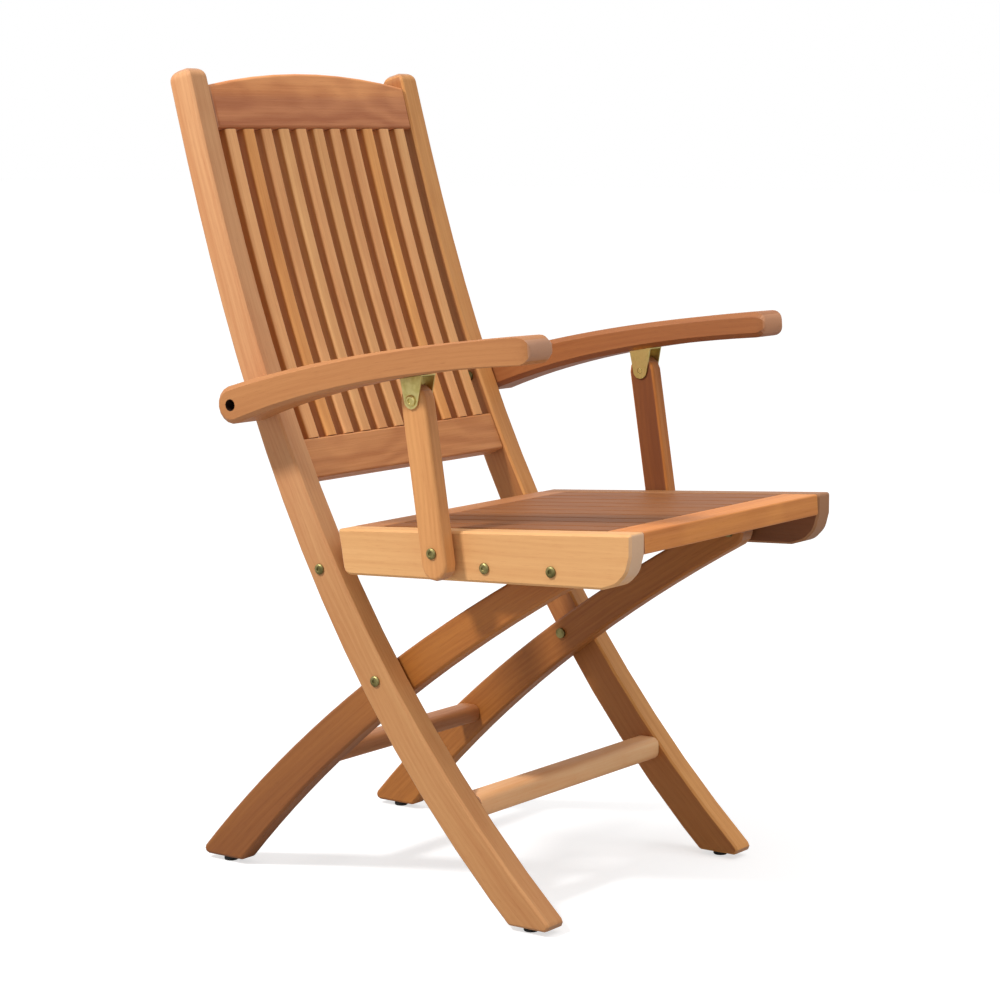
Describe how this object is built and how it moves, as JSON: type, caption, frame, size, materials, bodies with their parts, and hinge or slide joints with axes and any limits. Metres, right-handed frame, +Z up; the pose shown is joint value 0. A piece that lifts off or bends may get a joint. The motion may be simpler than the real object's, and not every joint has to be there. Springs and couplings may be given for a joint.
{
  "type": "folding armchair",
  "caption": "Folding wooden armchair with a slatted seat, a tall slatted curved back, crossed legs and hinged arms on swinging supports.",
  "frame": {"origin": "on the ground, at the middle of the open chair's width and depth", "axes": "+Z up, +X towards the sitter's left, so that the sitter faces -Y"},
  "size_m": [0.5134, 0.6052, 0.891],
  "materials": {
    "teak": "oiled satin",
    "teak_light": "oiled satin",
    "teak_dark": "oiled satin",
    "brass": "brushed, slightly aged",
    "rubber": "matt"
  },
  "bodies": {
    "back_frame": {"left_post": "teak", "right_post": "teak", "top_rail": "teak_dark", "lower_back_rail": "teak_dark", "front_stretcher": "teak", "back_slat_01": "teak", "back_slat_02": "teak", "back_slat_03": "teak", "back_slat_04": "teak", "back_slat_05": "teak", "back_slat_06": "teak", "back_slat_07": "teak", "back_slat_08": "teak", "back_slat_09": "teak", "back_slat_10": "teak", "back_slat_11": "teak", "left_crossing_bolt": "brass", "right_crossing_bolt": "brass", "left_link_post_bolt": "brass", "right_link_post_bolt": "brass", "left_arm_bolt": "brass", "right_arm_bolt": "brass", "left_front_foot_pad": "rubber", "right_front_foot_pad": "rubber"},
    "rear_leg_frame": {"left_rear_leg": "teak", "right_rear_leg": "teak", "left_leg_seat_bolt": "brass", "right_leg_seat_bolt": "brass", "left_rear_foot_pad": "rubber", "right_rear_foot_pad": "rubber", "rear_stretcher": "teak"},
    "seat_frame": {"left_seat_rail": "teak_light", "right_seat_rail": "teak_light", "left_link_seat_bolt": "brass", "right_link_seat_bolt": "brass", "seat_front_rail": "teak_light", "seat_rear_rail": "teak_dark", "seat_slat_01": "teak_dark", "seat_slat_02": "teak_dark", "seat_slat_03": "teak_dark", "seat_slat_04": "teak_dark", "seat_slat_05": "teak_dark", "seat_slat_06": "teak_dark", "seat_slat_07": "teak_dark", "seat_slat_08": "teak_dark", "seat_slat_09": "teak_dark", "seat_slat_10": "teak_dark"},
    "left_fold_link_body": {"left_fold_link": "brass"},
    "left_arm_body": {"left_arm": "teak_light", "left_arm_bracket": "brass", "left_bracket_bolt": "brass"},
    "left_support_body": {"left_arm_support": "teak", "left_support_seat_bolt": "brass"},
    "right_fold_link_body": {"right_fold_link": "brass"},
    "right_arm_body": {"right_arm": "teak_light", "right_arm_bracket": "brass", "right_bracket_bolt": "brass"},
    "right_support_body": {"right_arm_support": "teak", "right_support_seat_bolt": "brass"}
  },
  "joints": [
    {"name": "rear_leg_hinge", "type": "hinge", "parent": "back_frame", "child": "rear_leg_frame", "pos_m": [0, 0.01833, 0.2425], "axis": [-1, 0, 0], "range_deg": [0, 74]},
    {"name": "seat_hinge", "type": "hinge", "parent": "rear_leg_frame", "child": "seat_frame", "pos_m": [0, -0.20713, 0.38102], "axis": [-1, 0, 0], "range_deg": [-141, 0]},
    {"name": "left_fold_link_hinge", "type": "hinge", "parent": "back_frame", "child": "left_fold_link_body", "pos_m": [0, 0.09355, 0.356], "axis": [-1, 0, 0], "range_deg": [0, 93]},
    {"name": "left_arm_hinge", "type": "hinge", "parent": "back_frame", "child": "left_arm_body", "pos_m": [0, 0.172, 0.5324], "axis": [-1, 0, 0], "range_deg": [0, 102.6]},
    {"name": "left_support_hinge", "type": "hinge", "parent": "left_arm_body", "child": "left_support_body", "pos_m": [0, -0.0496, 0.54777], "axis": [-1, 0, 0], "range_deg": [-71.8, 0]},
    {"name": "right_fold_link_hinge", "type": "hinge", "parent": "back_frame", "child": "right_fold_link_body", "pos_m": [0, 0.09355, 0.356], "axis": [-1, 0, 0], "range_deg": [0, 93]},
    {"name": "right_arm_hinge", "type": "hinge", "parent": "back_frame", "child": "right_arm_body", "pos_m": [0, 0.172, 0.5324], "axis": [-1, 0, 0], "range_deg": [0, 102.6]},
    {"name": "right_support_hinge", "type": "hinge", "parent": "right_arm_body", "child": "right_support_body", "pos_m": [0, -0.0496, 0.54777], "axis": [-1, 0, 0], "range_deg": [-71.8, 0]}
  ],
  "couplings": [
    {"joint": "seat_hinge", "follows": "rear_leg_hinge", "ratio": -1.9054},
    {"joint": "left_fold_link_hinge", "follows": "rear_leg_hinge", "ratio": 1.2565},
    {"joint": "left_arm_hinge", "follows": "rear_leg_hinge", "ratio": 1.3816},
    {"joint": "left_support_hinge", "follows": "rear_leg_hinge", "ratio": -0.96544},
    {"joint": "right_fold_link_hinge", "follows": "rear_leg_hinge", "ratio": 1.2565},
    {"joint": "right_arm_hinge", "follows": "rear_leg_hinge", "ratio": 1.3816},
    {"joint": "right_support_hinge", "follows": "rear_leg_hinge", "ratio": -0.96544}
  ]
}
